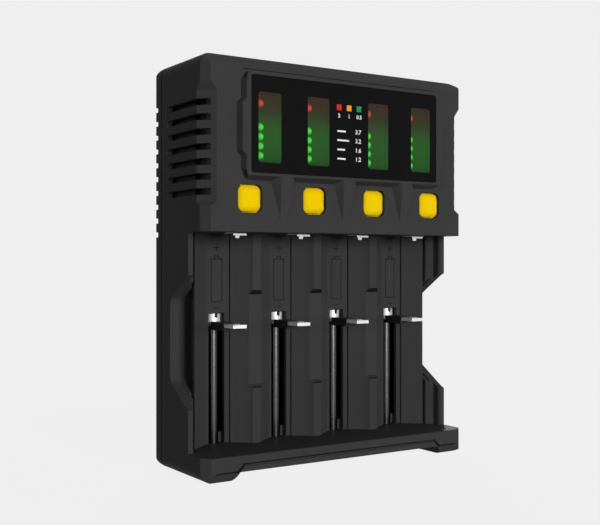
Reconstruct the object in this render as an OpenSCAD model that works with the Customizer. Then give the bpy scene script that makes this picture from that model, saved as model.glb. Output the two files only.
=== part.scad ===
// Four-bay battery charger that stands upright. Millimetres, +Z up.
// Depths are measured back from the frontmost plane, then the whole is centred on its footprint.

/* [Case] */
// Distance from the middle of an outer bay to the side of the case
side_w = 19; // [18.8:0.1:21]
// Height of the base
base_h = 9.6; // [9.2:0.1:10.2]
// Height of the bays, from the base to the head
bay_h = 81.6; // [80:0.2:90]
// Height of the head with the display and the buttons
head_h = 65; // [64:0.2:70]
// Wall thickness of the mouldings
wall = 2.2; // [2:0.1:2.4]
// Radius of the case corners seen from the front
corner_r = 5; // [4:0.5:6]
// Radius of the bottom corners seen from the front
foot_r = 5; // [3:0.5:6]
// Radius of the side edges at the back
back_edge_r = 1; // [0.5:0.5:2]
// Radius of the top and bottom edges at the back
back_top_r = 4.5; // [3:0.5:5]
// Depth of the main face behind the frontmost plane
face_d = 3; // [2.6:0.1:3.4]
// Width of the corner facets
facet_w = 3.1; // [2.4:0.1:3.6]
// Depth of the corner facets
facet_d = 3.4; // [3:0.1:4.2]
// Height of the chamfer along the top front edge
top_chamfer = 3.6; // [2.8:0.1:4]
// Depth of the chamfer along the top front edge
chamfer_d = 5.5; // [4:0.1:6]
// Room between the carriages and the back cover
back_room = 5.3; // [4.6:0.1:8]
// Depth of the back cover
cover_d = 6.2; // [5.8:0.1:6.6]
// Width of the shadow groove at the parting line
seam_groove = 0.8; // [0.4:0.1:1]

/* [Head] */
// Height of the head below the corner recesses
recess_margin = 9.25; // [8:0.25:11]
// Height of the head above the corner recesses
recess_drop = 11.25; // [10:0.25:13]
// Depth of the corner recesses, square to the facet
recess_cut = 1.7; // [1:0.1:1.9]
// Distance between vent slots
vent_pitch = 5.4; // [5:0.1:7]
// Height of a vent slot
vent_h = 2.4; // [1.6:0.1:2.8]
// Height of a vent slot in the back cover
back_vent_h = 2; // [1.4:0.1:2.6]
// Reach of the back vents from the side towards the middle
back_vent_reach = 24; // [12:1:26]

/* [Display] */
// Width of the display panel
panel_w = 87.6; // [84:0.2:94]
// Distance from the bottom of the head to the panel
panel_rise = 21.6; // [21:0.1:23]
// Distance from the panel to the top of the head
panel_drop = 7.6; // [7:0.1:9]
// Thickness of the panel
panel_t = 1.6; // [1.2:0.1:2]
// Depth of the panel below the rim of its surround
panel_sink = 0.3; // [0.1:0.1:0.5]
// Width of the surround's rim beside the panel
rim_w = 1.7; // [1:0.1:2]
// How far the surround steps out at mid height
rim_step = 1.7; // [1:0.1:2]
// Width of a window
window_w = 9.8; // [8:0.1:10.4]
// Distance from the bottom of the panel to the windows
window_rise = 3.9; // [3:0.1:5]
// Distance from the windows to the top of the panel
window_drop = 6; // [4:0.1:8]
// Distance from the ends of the panel to the middle of the outer windows
window_end = 8.05; // [7:0.05:9]
// Size of the small colour squares
mark_size = 2.2; // [1.6:0.1:2.6]

/* [Buttons] */
// Width and height of a button
button_size = 9.9; // [9:0.1:11]
// Distance from the bottom of the head to the middle of the buttons
button_rise = 12.3; // [11.5:0.1:13]
// How far a button stands out of the face
button_proud = 0.4; // [0.2:0.1:0.8]
// Travel of a button
button_travel = 0.8; // [0.4:0.1:0.9]
// Gap round a button
button_gap = 0.25; // [0.2:0.05:0.4]

/* [Bays] */
// Distance between bays
bay_pitch = 28.4; // [27.8:0.1:30]
// Depth of the cheeks' front edges
cheek_d = 15.6; // [14:0.2:17]
// Thickness of the cheeks
cheek_w = 2.5; // [2.2:0.1:3]
// Height of the ridges between bays above the flat floor
ridge_h = 7; // [6.5:0.1:7.6]
// Width of a ridge
ridge_w = 3.5; // [3:0.1:4]
// How far the ridges step back at mid height
ridge_step = 1.4; // [0.8:0.1:1.6]
// Length of the full ridges above the base and below the head
ridge_end = 22.1; // [18:0.1:26]
// Radius of the trough for thick cells
wide_r = 15.2; // [14.6:0.1:16]
// Radius of the trough for thin cells
thin_r = 12.2; // [11.6:0.1:12.8]
// Distance from the middle of a bay to the crease between its troughs
crease_x = 8.4; // [8:0.1:8.8]
// Depth of the flat floor between the troughs
floor_d = 29.3; // [27:0.1:32]
// Width of the flat floor
floor_w = 11; // [10:0.2:12]
// Thickness of the wall behind the floor
floor_t = 1.8; // [1.4:0.1:2]
// Gap between a slider's lug and each side of its slot
slot_gap = 0.5; // [0.4:0.1:0.8]
// Wall in front of the guide rods
rod_cover = 1; // [0.9:0.1:1.2]

/* [Finger cut-outs] */
// Distance of a cut-out from the base and from the head, along the cheek's edge
cut_margin = 15.5; // [12:0.5:18]
// Rise of each slope from the cheek's edge to the bottom of the cut-out
cut_rise = 9.9; // [8:0.1:12]
// Depth of the bottom of the cut-outs behind the flat floor
cut_drop = 1.7; // [1:0.1:2.2]
// Width of a cut-out, measured in from the side
cut_w = 6.2; // [5.4:0.1:6.6]
// Width of the rim along the bottom of a cut-out
cut_rim = 3.8; // [3:0.1:4.4]
// Step from the rim down to the pocket beside the trough
cut_step = 1.2; // [0.6:0.1:1.6]
// Radius of the outer bend
cut_outer_r = 9; // [4:0.5:10]
// Radius of the inner bend
cut_inner_r = 4; // [2:0.5:5]

/* [Feet of the base] */
// Height of the gap under the middle of the base
foot_gap = 3.6; // [2.4:0.1:3.8]
// Width of each foot
foot_w = 12.5; // [10:0.5:16]
// Depth of the groove along the front of the base
lip_groove = 0.8; // [0.4:0.1:1]

/* [Sliders] */
// Distance from the head to the sliders' plates at rest
rest_gap = 35.9; // [32:0.1:40]
// Room left under a slider at the end of its travel
end_room = 5.7; // [5:0.1:8]
// Width of the contact plate
plate_w = 5.8; // [5:0.1:6.6]
// Length of the contact plate, up to its arm
plate_l = 7.2; // [6:0.1:8]
// Thickness of the contact plate
plate_t = 1.3; // [0.8:0.1:1.4]
// Depth of the front edge of the contacts
contact_d = 10.6; // [9:0.1:12]
// Thickness of the curved lug that rides on the rod
lug_t = 0.6; // [0.5:0.1:0.7]
// Height of the lug above the bottom of the contact plate
lug_h = 4.7; // [4:0.1:5]
// Height of a carriage
carriage_h = 13; // [11:0.5:14]
// Diameter of the guide rods
rod_d = 4.6; // [4.2:0.1:4.8]
// Running clearance between rod and carriage, on the radius
rod_clearance = 0.07; // [0.05:0.01:0.1]
// Outer diameter of the slider springs
spring_d = 5; // [4.4:0.1:5.6]
// Wire of the slider springs
spring_wire = 0.6; // [0.5:0.05:0.7]
// Turns of a slider spring
spring_turns = 12; // [8:1:14]

/* [Boards and fasteners] */
// Thickness of the circuit boards
board_t = 1.6; // [1.2:0.1:1.6]
// Room between the head's face and the display board
light_room = 5.3; // [5:0.1:6]
// Room between the main board and the parting line
cover_room = 5.2; // [5:0.1:6]
// Diameter of the power inlet's barrel
inlet_bore = 5.6; // [5.5:0.1:6]
// Diameter of the power inlet's pin
inlet_pin = 2; // [1.6:0.1:2.5]
// Diameter of the case screws
screw_d = 2.9; // [2.5:0.1:3]
// Diameter of the board screws
board_screw_d = 2; // [1.6:0.1:2.2]
// Diameter of the feet on the back
pad_d = 9; // [7:0.5:11]
// How far the feet on the back stand out
pad_proud = 0.8; // [0.4:0.1:1.2]

/* [Hidden] */

$fn = 48;
// Largest angle of one straight piece of a rounded outline
arc_step = 15;
// Overlap that makes a cut clear its surface
over = 1;
// Running gap between a moving piece and a fixed one
run_gap = 0.3;
// Play round a piece that sits in a pocket
seat_gap = 0.05;

// Width, height and levels
bay_count = 4;
bays = [for (i = [0:bay_count - 1]) (i - (bay_count - 1) / 2) * bay_pitch];
last_bay = bays[bay_count - 1];
half_w = last_bay + side_w;
head_z = base_h + bay_h;
height = head_z + head_h;
panel_z = head_z + panel_rise;
panel_h = head_h - panel_rise - panel_drop;
window_z = panel_z + window_rise;
window_h = panel_h - window_rise - window_drop;
windows = [window_end - panel_w / 2, -bay_pitch / 2, bay_pitch / 2, panel_w / 2 - window_end];
button_z = head_z + button_rise;
recess_z = head_z + recess_margin;
recess_h = head_h - recess_margin - recess_drop;
side_vents = floor((recess_h - 4) / vent_pitch);
back_vents = floor((head_h - 8) / vent_pitch);

// Troughs: each arc is centred so that it passes through a named crease
ridge_d = floor_d - ridge_h;
wide_edge = bay_pitch / 2 - ridge_w / 2;
wide_axis_d = ridge_d - sqrt(pow(wide_r, 2) - pow(wide_edge, 2));
crease_d = wide_axis_d + sqrt(pow(wide_r, 2) - pow(crease_x, 2));
thin_axis_d = crease_d - sqrt(pow(thin_r, 2) - pow(crease_x, 2));
floor_back_d = floor_d + floor_t;
ridge_low_z = base_h + ridge_end;
ridge_high_z = head_z - ridge_end;

// Outer trough walls and finger cut-outs
fin_t = 1.6;
wall_x = half_w - cheek_w;
outer_slope = [[last_bay + crease_x, crease_d], [wall_x, crease_d - 0.82 * (wall_x - last_bay - crease_x)]];
cut_x = half_w - cut_w;
cut_d = floor_d + cut_drop;
cut_low_z = base_h + cut_margin;
cut_high_z = head_z - cut_margin;
pocket_x = last_bay + crease_x + 0.8;

// Slider and rod, then the depth of the case that they need
rod_axis_d = floor_d + rod_cover + rod_d / 2;
boss_h = 4;
rod_low_z = base_h - boss_h;
rod_high_z = head_z - boss_h - 1.5;
carriage_wrap = 2;
carriage_d = floor_back_d + run_gap;
carriage_back_d = rod_axis_d + rod_d / 2 + carriage_wrap;
carriage_side = rod_d / 2 + 2.7;
spring_x = carriage_side + spring_d / 2 - 0.1;
carriage_reach = spring_x + spring_d / 2;
spring_axis_d = (carriage_d + carriage_back_d) / 2;
peg_r = spring_d / 2 - spring_wire - run_gap;
peg_h = 2;
plate_z = head_z - rest_gap;
nose_h = 1.4;
slider_travel = bay_h - rest_gap - end_room;
lug_gap = 0.1;
lug_r = rod_d / 2 + lug_gap + lug_t;
slot_w = 2 * (lug_r + slot_gap);
arm_w = 5.2;
neck_w = 3;
arm_d = contact_d + plate_l + 0.9;
arm_end_d = rod_axis_d - lug_r - run_gap;
spring_low_z = plate_z + carriage_h;
spring_high_z = head_z - 2;
case_depth = carriage_back_d + back_room + wall;
seam_d = case_depth - cover_d;
depth = case_depth + pad_proud;

// Case outline
side_edge_d = face_d + facet_d;
base_d = face_d - 0.3;
vent_end_d = seam_d - 4.6;

// Lights
light_pitch = window_h / 7.3;
light_d = light_pitch - 0.55;
light_z = window_z + 0.8 * light_pitch;
light_tip_d = face_d + wall + 0.2;
display_board_d = face_d + wall + light_room;

// Buttons and switches
button_r = 2.2;
flange = 1.2;
flange_t = 1;
flange_d = face_d + wall + run_gap;
plunger_r = 1.75;
plunger_d = flange_d + flange_t + 0.4;
switch_d = plunger_d + button_travel + 0.2;
plunger_in = display_board_d - switch_d - button_travel - 0.5;
switch_size = 6;

// Boards
boss_r = board_screw_d / 2 + 1.5;
display_board_x = half_w - 9.6;
display_board_z = [head_z + 4.5, height - 4.5];
boss_low_z = button_z + button_size / 2 + flange + boss_r + 0.8;
display_bosses = [for (x = [-1, 1]) for (z = [boss_low_z, display_board_z[1] - 3]) [x * (display_board_x - 3), z]];
main_board_d = seam_d - cover_room;
main_board_x = half_w - 11.6;
main_board_z = [head_z + 7, height - 4];
cover_posts = concat([for (x = [-1, 1]) [x * (main_board_x - 4), main_board_z[1] - 4]],
    [for (x = [-1, 1]) [x * bay_pitch, main_board_z[0] + 4]]);
case_post_r = 3.2;
case_post_l = 10;
case_screws_at = [for (x = [-1, 1]) for (z = [base_h + 4.6, head_z + 7, height - 6.5])
    [x * (half_w - case_post_r - 3.2), z]];
pads_at = [for (x = [-1, 1]) for (z = [base_h + 5.6, head_z - 12]) [x * (half_w - 15.6), z]];
inlet_x = half_w - 31.6;
inlet_d = main_board_d - 5.5;
inlet_depth = 10;
collar_r = inlet_bore / 2 + 1.2;

// Marks and contacts
mark_x = [-2.15 * mark_size, 0, 2.15 * mark_size];
mark_z = window_z + window_h - 1.3 * mark_size;
contact_w = 5.6;
contact_t = 0.8;
riser_d = contact_d + 6.8;
contact_leg_z = main_board_z[0] + 2;

function unit(v) = v / norm(v);
function turned(v, a) = [v[0] * cos(a) - v[1] * sin(a), v[0] * sin(a) + v[1] * cos(a)];

// Points that round corner b, between its neighbours a and c, with radius r
function corner(a, b, c, r) = r <= 0 ? [b] : let(
    u = unit(a - b),
    v = unit(c - b),
    half = acos(u * v) / 2,
    middle = b + unit(u + v) * r / sin(half),
    from = b + u * r / tan(half) - middle,
    to = b + v * r / tan(half) - middle,
    turn = sign(cross(from, to)) * (180 - 2 * half),
    steps = max(2, ceil(abs(turn) / arc_step)))
    [for (i = [0:steps]) middle + turned(from, turn * i / steps)];

// Outline through points given as [x, y, radius]
function rounded(points) = let(n = len(points))
    [for (i = [0:n - 1])
        for (p = corner(xy(points[(i + n - 1) % n]), xy(points[i]), xy(points[(i + 1) % n]), points[i][2])) p];
function xy(p) = [p[0], p[1]];

// Outline symmetric about the second axis, from its right half listed upwards or downwards
function mirrored(half) = concat(half, [for (i = [len(half) - 1:-1:0]) [-half[i][0], half[i][1], half[i][2]]]);

function rounded_rect(w, h, r) = rounded([[w / 2, -h / 2, r], [w / 2, h / 2, r], [-w / 2, h / 2, r], [-w / 2, -h / 2, r]]);

// Prism of an outline in X and Z between two depths
module front_prism(d0, d1) translate([0, d1, 0]) rotate([90, 0, 0]) linear_extrude(d1 - d0) children();

// Prism of an outline in depth and Z between two X
module side_prism(x0, x1) translate([x0, 0, 0]) rotate([90, 0, 90]) linear_extrude(x1 - x0) children();

// Box from one corner to the opposite one
module box(a, b) translate(a) cube(b - a);

// Cylinder along depth
module rod_y(x, z, d0, d1, r) translate([x, d1, z]) rotate([90, 0, 0]) cylinder(h = d1 - d0, r = r);

module both_sides() {
    children();
    mirror([1, 0, 0]) children();
}

// Case outlines, all shrunk by t on every face

function front_outline(t) = rounded([
    [half_w - t, t, foot_r - t / 2],
    [half_w - t, height - t, corner_r - t / 2],
    [t - half_w, height - t, corner_r - t / 2],
    [t - half_w, t, foot_r - t / 2]]);

function plan_outline(t, inset = 0) = rounded(mirrored([
    [half_w - facet_w - t / 2 - inset, base_d + t, 1],
    [half_w - t, side_edge_d + t / 2 + inset, 1],
    [half_w - t, case_depth - t, max(0.4, back_edge_r - t)]]));

function side_outline(t) = rounded([
    [base_d + t, t, 4 - t / 2],
    [case_depth - t, t, back_top_r - t / 2],
    [case_depth - t, height - t, back_top_r - t / 2],
    [face_d + chamfer_d + t / 2, height - t, 0],
    [face_d + t, height - top_chamfer - t / 2, 0],
    [face_d + t, head_z + t, 0],
    [cheek_d + t, head_z + t, 0],
    [cheek_d + t, base_h - t, 0],
    [base_d + t, base_h - t, 0.6]]);

module case_solid(t = 0) {
    intersection() {
        front_prism(0, case_depth) polygon(front_outline(t));
        linear_extrude(height) polygon(plan_outline(t));
        side_prism(-half_w, half_w) polygon(side_outline(t));
    }
}

// Raised surround of the display, and the level at which its underside meets the face
surround_low = panel_z - 1;
surround_slope = 1.6;

function surround_outline() = let(
    rim = panel_w / 2 + rim_w,
    high = panel_z + panel_h + 1.2,
    step_low = panel_z + 0.17 * panel_h,
    step_high = panel_z + 0.76 * panel_h)
    rounded(mirrored([
        [rim, surround_low - surround_slope, 3],
        [rim, step_low, 0],
        [rim + rim_step, step_low + rim_step, 0],
        [rim + rim_step, step_high - rim_step, 0],
        [rim, step_high, 0],
        [rim, high, 2]]));

module surround() {
    intersection() {
        front_prism(0, face_d + wall) polygon(surround_outline());
        side_prism(-half_w, half_w) polygon([
            [0, surround_low],
            [face_d, surround_low - surround_slope],
            [face_d + wall, surround_low - surround_slope],
            [face_d + wall, height],
            [0, height]]);
    }
    for (i = [1:bay_count - 1]) surround_rib((bays[i - 1] + bays[i]) / 2);
}

// Rib that tapers down between two buttons: its crest, then its foot on the face
module surround_rib(x) {
    crest_w = 5;
    foot_w_top = 10.8;
    tip_w = 2.2;
    crest_z = head_z + 15.5;
    tip_z = head_z + 4.1;
    translate([x, 0, 0]) hull() {
        front_prism(0, 0.2) polygon([[-crest_w / 2, crest_z], [crest_w / 2, crest_z],
            [crest_w / 2, surround_low], [-crest_w / 2, surround_low]]);
        front_prism(face_d, face_d + 0.5) polygon([[-tip_w / 2, tip_z], [tip_w / 2, tip_z],
            [foot_w_top / 2, surround_low - surround_slope], [-foot_w_top / 2, surround_low - surround_slope]]);
    }
}

// Groove along the top of the surround
module surround_groove() {
    front_prism(face_d - 0.1, face_d + 0.7)
        translate([0, panel_z + panel_h + 1.9]) square([panel_w + 2 * rim_w, 1], center = true);
}

// Recess that cuts back one front corner of the head
module corner_recess() {
    facet = [facet_w, side_edge_d - face_d];
    angle = atan2(facet[1], facet[0]);
    translate([half_w - facet_w / 2, (face_d + side_edge_d) / 2, recess_z]) rotate([0, 0, angle])
        rotate([90, 0, 90]) translate([0, 0, -20]) linear_extrude(40) polygon(rounded([
            [-6, 0, 0],
            [0, 0, 0],
            [recess_cut, recess_cut, 0.6],
            [recess_cut, recess_h - 2.6, 0.6],
            [0, recess_h, 0],
            [-6, recess_h, 0]]));
}

// Slots through the side wall that wrap round the front corner
module side_vent_cuts() {
    middle = recess_z + recess_h / 2 - 0.9;
    for (i = [0:side_vents - 1]) {
        z = middle + (i - (side_vents - 1) / 2) * vent_pitch;
        difference() {
            intersection() {
                box([half_w - facet_w - 0.6, 0, z - vent_h / 2], [half_w + over, vent_end_d, z + vent_h / 2]);
                side_prism(0, half_w + over)
                    polygon(rounded([[-over, z - vent_h / 2, 0], [vent_end_d, z - vent_h / 2, vent_h / 2.2],
                        [vent_end_d, z + vent_h / 2, vent_h / 2.2], [-over, z + vent_h / 2, 0]]));
            }
            box([0, side_edge_d + recess_cut + 1.5, 0], [half_w - wall - 0.2, case_depth, height]);
        }
    }
}

// Shape cut out of a cheek, seen from the side
function cut_outline() = rounded([
    [0, cut_low_z, 0],
    [cheek_d, cut_low_z, cut_outer_r],
    [cut_d, cut_low_z + cut_rise, cut_inner_r],
    [cut_d, cut_high_z - cut_rise, cut_inner_r],
    [cheek_d, cut_high_z, cut_outer_r],
    [0, cut_high_z, 0]]);

// Rim and pocket of the cut-out; the pocket reaches in behind the trough's outer wall
module finger_cut() {
    side_prism(cut_x, half_w + over) polygon(cut_outline());
    intersection() {
        side_prism(pocket_x, half_w - cut_rim) translate([cut_step, 0]) polygon(cut_outline());
        linear_extrude(height) polygon([
            [half_w, 0], [half_w, case_depth], [pocket_x, case_depth],
            [pocket_x, slope_d(pocket_x) + fin_t], [cut_x, slope_d(cut_x) + fin_t], [cut_x, 0]]);
    }
    box([cut_x, 0, base_h], [cut_x + 1, slope_d(cut_x) + 2.5, head_z]);
}

// Depth of the outer trough wall's face at x
function slope_d(x) = outer_slope[0][1] + (x - outer_slope[0][0])
    * (outer_slope[1][1] - outer_slope[0][1]) / (outer_slope[1][0] - outer_slope[0][0]);

// Everything that is cut out for the cells
module bay_cuts() {
    intersection() {
        translate([0, 0, base_h]) linear_extrude(bay_h) {
            square([2 * (last_bay + wide_edge), 2 * ridge_d], center = true);
            for (x = bays) {
                translate([x, wide_axis_d]) circle(r = wide_r, $fn = 96);
                translate([x, thin_axis_d]) circle(r = thin_r, $fn = 96);
                translate([x - floor_w / 2, thin_axis_d]) square([floor_w, floor_d - thin_axis_d]);
            }
            for (s = [-1, 1]) polygon([[s * last_bay, 0], [s * wall_x, 0], [s * wall_x, outer_slope[1][1]],
                [s * outer_slope[0][0], outer_slope[0][1]], [s * last_bay, outer_slope[0][1]]]);
        }
        box([-wall_x, 0, 0], [wall_x, floor_d, height]);
    }
    side_prism(-last_bay, last_bay) polygon([
        [0, ridge_low_z],
        [ridge_d, ridge_low_z],
        [ridge_d + ridge_step, ridge_low_z + ridge_step / 2],
        [ridge_d + ridge_step, ridge_high_z - 0.85 * ridge_step],
        [ridge_d, ridge_high_z],
        [0, ridge_high_z]]);
    both_sides() translate([0, 0, base_h]) linear_extrude(bay_h) polygon([
        [wall_x - 0.7, cheek_d + 2], [wall_x - 0.7, 0], [wall_x + 0.7, 0], [wall_x + 0.7, cheek_d - 0.1]]);
}

// Slots in which the sliders' lugs run
module slider_slots() {
    slot_top = plate_z + lug_h + run_gap;
    for (x = bays)
        box([x - slot_w / 2, floor_d - over, base_h], [x + slot_w / 2, floor_back_d + over, slot_top]);
}

// Hollow behind the face, the troughs and the floor
module hollow() {
    intersection() {
        union() {
            case_solid(wall);
            box([-half_w, cheek_d, base_h], [half_w, case_depth, head_z + 2 * wall]);
        }
        linear_extrude(height) polygon(plan_outline(wall, recess_cut * 1.4));
        difference() {
            box([-half_w, 0, base_h], [half_w, case_depth, height - wall]);
            translate([0, 0, -over]) linear_extrude(head_z + wall + over) {
                for (x = bays) {
                    translate([x, wide_axis_d]) circle(r = wide_r + floor_t, $fn = 96);
                    translate([x - crease_x, 0]) square([2 * crease_x, floor_back_d]);
                }
                translate([-half_w, 0]) square([2 * half_w, ridge_d + ridge_step + floor_t]);
                for (s = [-1, 1]) translate([s * half_w, 0])
                    square([2 * (half_w - pocket_x + floor_t), 2 * (cut_d + cut_step + floor_t)], center = true);
            }
        }
    }
    box([-half_w + wall, seam_d - 1.5, base_h], [half_w - wall, case_depth, head_z + wall]);
}

// Bosses, posts, air guides behind the side vents and brackets inside the front shell
module shell_bosses() {
    for (p = display_bosses) rod_y(p[0], p[1], face_d + 1, display_board_d, boss_r);
    for (p = case_screws_at) {
        start = p[1] < head_z ? cut_d + cut_step : seam_d - case_post_l;
        rod_y(p[0], p[1], start, seam_d, case_post_r);
        reach = sign(p[0]) * (half_w - wall / 2);
        box([min(p[0], reach), start, p[1] - 1], [max(p[0], reach), seam_d, p[1] + 1]);
    }
    both_sides() box([half_w - 6.1, vent_end_d - 14, case_screws_at[1][1]], [half_w - 4.6, seam_d, case_screws_at[2][1]]);
    for (i = [0:bay_count - 1]) {
        side = spring_side(i);
        translate([bays[i], 0, 0]) scale([side, 1, 1]) {
            box([-carriage_side, floor_back_d - 0.6, rod_high_z - boss_h - 0.5],
                [carriage_side - 1, rod_axis_d + rod_d / 2 + 1.6, rod_high_z - 0.5]);
            box([-carriage_side, floor_back_d - 0.6, base_h - 0.5],
                [carriage_side, rod_axis_d + rod_d / 2 + 1.6, plate_z - slider_travel - nose_h - run_gap]);
            box([spring_x - 3, ridge_d + 4, spring_high_z],
                [spring_x + 3, spring_axis_d + 3, head_z + wall / 2]);
            translate([spring_x, spring_axis_d, spring_high_z - peg_h]) cylinder(h = peg_h + 0.5, r = peg_r);
        }
    }
}

// The springs of the left-hand bays stand to the right of their rods, the others to the left
function spring_side(i) = bays[i] < 0 ? 1 : -1;

module front_shell() {
    color("dimgray") difference() {
        union() {
            difference() {
                union() {
                    case_solid();
                    surround();
                }
                hollow();
            }
            shell_bosses();
        }
        box([-half_w - over, seam_d, -over], [half_w + over, case_depth + over, height + over]);
        bay_cuts();
        slider_slots();
        both_sides() {
            finger_cut();
            corner_recess();
            side_vent_cuts();
        }
        surround_groove();
        base_cuts();
        front_prism(-over, panel_sink + panel_t) translate([0, panel_z + panel_h / 2])
            polygon(rounded_rect(panel_w + 2 * seat_gap, panel_h + 2 * seat_gap, 1));
        for (x = windows) front_prism(0, face_d + wall + over) translate([x, window_z + window_h / 2])
            square([window_w - 1.2, window_h - 1.2], center = true);
        for (x = bays) {
            front_prism(-over, face_d + wall + over) translate([x, button_z])
                polygon(rounded_rect(button_size + 2 * button_gap, button_size + 2 * button_gap, button_r + button_gap));
            box([x - contact_w / 2 - 0.3, riser_d - 0.3, head_z - over],
                [x + contact_w / 2 + 0.3, riser_d + contact_t + 0.3, head_z + wall + over]);
            translate([x, rod_axis_d, rod_low_z]) cylinder(h = height / 2 + 10, r = rod_d / 2 + 0.03);
        }
        for (p = display_bosses) rod_y(p[0], p[1], face_d + wall, display_board_d + over, board_screw_d / 2);
        for (p = case_screws_at) rod_y(p[0], p[1], seam_d - 7, seam_d + over, screw_d / 2 + seat_gap);
        translate([inlet_x, inlet_d, height - wall - over]) cylinder(h = wall + 2 * over, r = collar_r + 0.1);
    }
}

// Gap between the feet and the groove along the front of the base
module base_cuts() {
    inner = half_w - foot_w;
    foot_line = 3.5;
    base_line = 6.1;
    slope = base_line - foot_line;
    line_w = 0.6;
    front_prism(-over, case_depth + over) polygon([
        [-inner - 1, -over], [-inner + 2.3, foot_gap], [inner - 2.3, foot_gap], [inner + 1, -over]]);
    front_prism(-over, base_d + lip_groove) difference() {
        polygon([[-half_w, -over], [half_w, -over], [half_w, foot_line], [inner - 1.2, foot_line], [inner - 1.2 - slope, base_line],
            [1.2 + slope - inner, base_line], [1.2 - inner, foot_line], [-half_w, foot_line]]);
        polygon([[-half_w - over, -2], [half_w + over, -2], [half_w + over, foot_line - line_w], [inner - 1.4, foot_line - line_w],
            [inner - 1.4 - slope, base_line - line_w], [1.4 + slope - inner, base_line - line_w],
            [1.4 - inner, foot_line - line_w], [-half_w - over, foot_line - line_w]]);
    }
}

module back_cover() {
    color("dimgray") difference() {
        union() {
            difference() {
                union() {
                    intersection() {
                        case_solid();
                        box([-half_w, seam_d + seam_groove, 0], [half_w, case_depth, height]);
                    }
                    intersection() {
                        case_solid(seam_groove);
                        box([-half_w, seam_d, 0], [half_w, seam_d + 2 * seam_groove, height]);
                    }
                }
                box([-half_w + wall, 0, wall + foot_gap], [half_w - wall, case_depth - wall, height - wall]);
            }
            for (p = cover_posts) rod_y(p[0], p[1], main_board_d + board_t, case_depth - 0.5, 2.75);
            for (p = case_screws_at) rod_y(p[0], p[1], seam_d, case_depth - 0.5, 4);
        }
        base_cuts();
        for (s = [-1, 1]) for (i = [0:back_vents - 1]) {
            z = recess_z + recess_h - 5.6 - i * vent_pitch;
            front_prism(case_depth - wall - 0.4, case_depth + over)
                translate([s * (half_w + over - (back_vent_reach + over) / 2), z])
                    square([back_vent_reach + over, back_vent_h], center = true);
        }
        for (p = cover_posts) rod_y(p[0], p[1], 0, main_board_d + board_t + 5, board_screw_d / 2);
        for (p = case_screws_at) {
            rod_y(p[0], p[1], seam_d - over, case_depth + over, screw_d / 2 + 0.15);
            rod_y(p[0], p[1], case_depth - 2, case_depth + over, 2.9);
        }
        for (p = pads_at) rod_y(p[0], p[1], case_depth - 0.5, case_depth + over, pad_d / 2 + seat_gap);
    }
}

module display_panel() {
    color("black") difference() {
        front_prism(panel_sink, panel_sink + panel_t) translate([0, panel_z + panel_h / 2])
            polygon(rounded_rect(panel_w, panel_h, 1));
        for (x = windows) front_prism(0, face_d) translate([x, window_z + window_h / 2])
            polygon(rounded_rect(window_w, window_h, 0.9));
        for (i = [0:2]) legend_mark(i, 0, seat_gap);
    }
}

module window(i) {
    color("green") front_prism(panel_sink, panel_sink + panel_t) translate([windows[i], window_z + window_h / 2])
        polygon(rounded_rect(window_w - 2 * seat_gap, window_h - 2 * seat_gap, 0.85));
}

// Square inlays between the inner windows
module legend_mark(i, d0, grow) {
    front_prism(d0, panel_sink + 0.6) translate([mark_x[i], mark_z])
        square(mark_size + 2 * grow, center = true);
}

module legend_marks() {
    for (i = [0:2]) color(["red", "orange", "green"][i]) legend_mark(i, panel_sink - 0.05, 0);
}

// Round light with a domed tip, on the display board
module light(x, z) {
    r = light_d / 2;
    rod_y(x, z, light_tip_d + r, display_board_d, r);
    translate([x, light_tip_d + r, z]) sphere(r = r);
}

module red_lights() {
    color("red") for (x = windows) light(x, light_z + 5.5 * light_pitch);
}

module green_lights() {
    color("lime") for (x = windows) for (i = [0:3]) light(x, light_z + i * light_pitch);
}

module button(i) {
    front_d = face_d - button_proud;
    bevel = 0.6;
    color("gold") translate([bays[i], 0, button_z]) {
        hull() {
            front_prism(front_d, flange_d + 0.2) polygon(rounded_rect(button_size - 2 * bevel, button_size - 2 * bevel, button_r - bevel));
            front_prism(front_d + bevel, flange_d + 0.2) polygon(rounded_rect(button_size, button_size, button_r));
        }
        front_prism(flange_d, flange_d + flange_t)
            polygon(rounded_rect(button_size + 2 * flange, button_size + 2 * flange, button_r));
        rod_y(0, 0, flange_d, plunger_d, plunger_r + 0.6);
    }
}

module switch_plunger(i) {
    color("black") rod_y(bays[i], button_z, plunger_d, switch_d + plunger_in, plunger_r);
}

module switch_cases() {
    color("silver") for (x = bays) difference() {
        translate([x, 0, button_z]) front_prism(switch_d, display_board_d) square(switch_size, center = true);
        rod_y(x, button_z, switch_d - over, switch_d + plunger_in + button_travel + 0.1, plunger_r + 0.06);
    }
}

// Plastic carriage that runs on the guide rod, behind the floor, with an arm round the contact's neck
module slider(i) {
    color("black") translate([bays[i], 0, plate_z]) scale([spring_side(i), 1, 1]) difference() {
        union() {
            box([-carriage_side, carriage_d, 0], [carriage_side, carriage_back_d, carriage_h]);
            box([0, carriage_d, carriage_h - 5], [carriage_reach, carriage_back_d, carriage_h]);
            box([-arm_w / 2, arm_d, -nose_h], [arm_w / 2, carriage_d + 2, 0]);
            box([-arm_w / 2, arm_d, -nose_h], [arm_w / 2, arm_end_d, plate_t + 0.4]);
            translate([spring_x, spring_axis_d, carriage_h - over]) cylinder(h = peg_h + over, r = peg_r);
        }
        box([-neck_w / 2, arm_d - over, 0], [neck_w / 2, arm_end_d + over, plate_t]);
        translate([0, rod_axis_d, -nose_h - over]) cylinder(h = carriage_h + nose_h + 2 * over, r = rod_d / 2 + rod_clearance);
    }
}

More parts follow.
